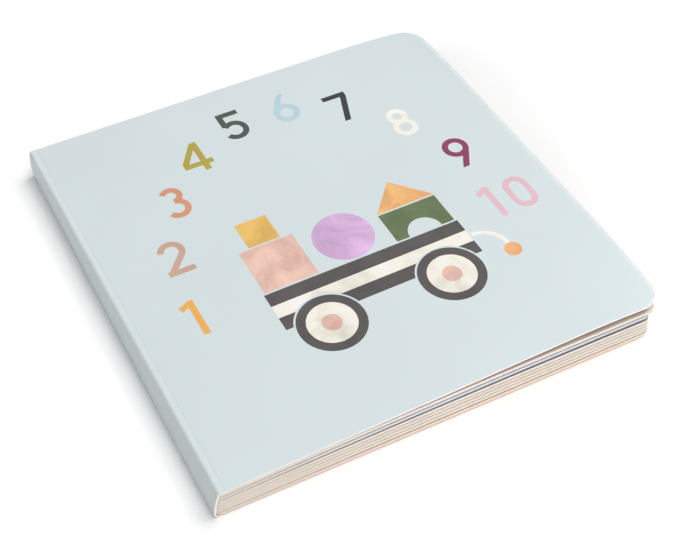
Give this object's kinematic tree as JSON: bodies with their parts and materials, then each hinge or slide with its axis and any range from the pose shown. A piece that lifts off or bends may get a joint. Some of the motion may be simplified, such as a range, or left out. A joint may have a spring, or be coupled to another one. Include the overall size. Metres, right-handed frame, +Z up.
{
  "type": "board book",
  "caption": "Square children's counting board book: bowed board leaves glued into a wrapped card cover, with front and back covers that turn on scored creases.",
  "frame": {"origin": "middle of the book's footprint, on the surface that its back cover lies on", "axes": "+X from the spine to the fore edge, +Y from the foot to the head, +Z up out of the front cover"},
  "size_m": [0.18, 0.18, 0.0205],
  "materials": {
    "cover_card": "satin",
    "board": "matte",
    "glue": "matte",
    "ink_numeral_1": "satin",
    "ink_numeral_2": "satin",
    "ink_numeral_3": "satin",
    "ink_numeral_4": "satin",
    "ink_numeral_5": "satin",
    "ink_numeral_6": "satin",
    "ink_numeral_7": "satin",
    "ink_numeral_8": "satin",
    "ink_numeral_9": "satin",
    "ink_numeral_10": "satin",
    "ink_charcoal": "satin",
    "ink_cream": "satin",
    "ink_pink": "satin",
    "ink_yellow": "satin",
    "ink_lilac": "satin",
    "ink_green": "satin",
    "ink_orange": "satin"
  },
  "bodies": {
    "book_block": {"page_block": "board", "spine_glue": "glue", "spine_wrap": "cover_card"},
    "front_cover": {"front_cover": "cover_card", "numeral_1": "ink_numeral_1", "numeral_2": "ink_numeral_2", "numeral_3": "ink_numeral_3", "numeral_4": "ink_numeral_4", "numeral_5": "ink_numeral_5", "numeral_6": "ink_numeral_6", "numeral_7": "ink_numeral_7", "numeral_8": "ink_numeral_8", "numeral_9": "ink_numeral_9", "numeral_10": "ink_numeral_10", "wagon_charcoal": "ink_charcoal", "wagon_cream": "ink_cream", "wagon_pink": "ink_pink", "wagon_yellow": "ink_yellow", "wagon_lilac": "ink_lilac", "wagon_green": "ink_green", "wagon_orange": "ink_orange"},
    "back_cover": {"back_cover": "cover_card"}
  },
  "joints": [
    {"name": "front_hinge", "type": "hinge", "parent": "book_block", "child": "front_cover", "pos_m": [-0.0859, 0, 0.01325], "axis": [0, -1, 0], "range_deg": [0, 177]},
    {"name": "back_hinge", "type": "hinge", "parent": "book_block", "child": "back_cover", "pos_m": [-0.0862, 0, 0], "axis": [0, 1, 0], "range_deg": [0, 177]}
  ]
}
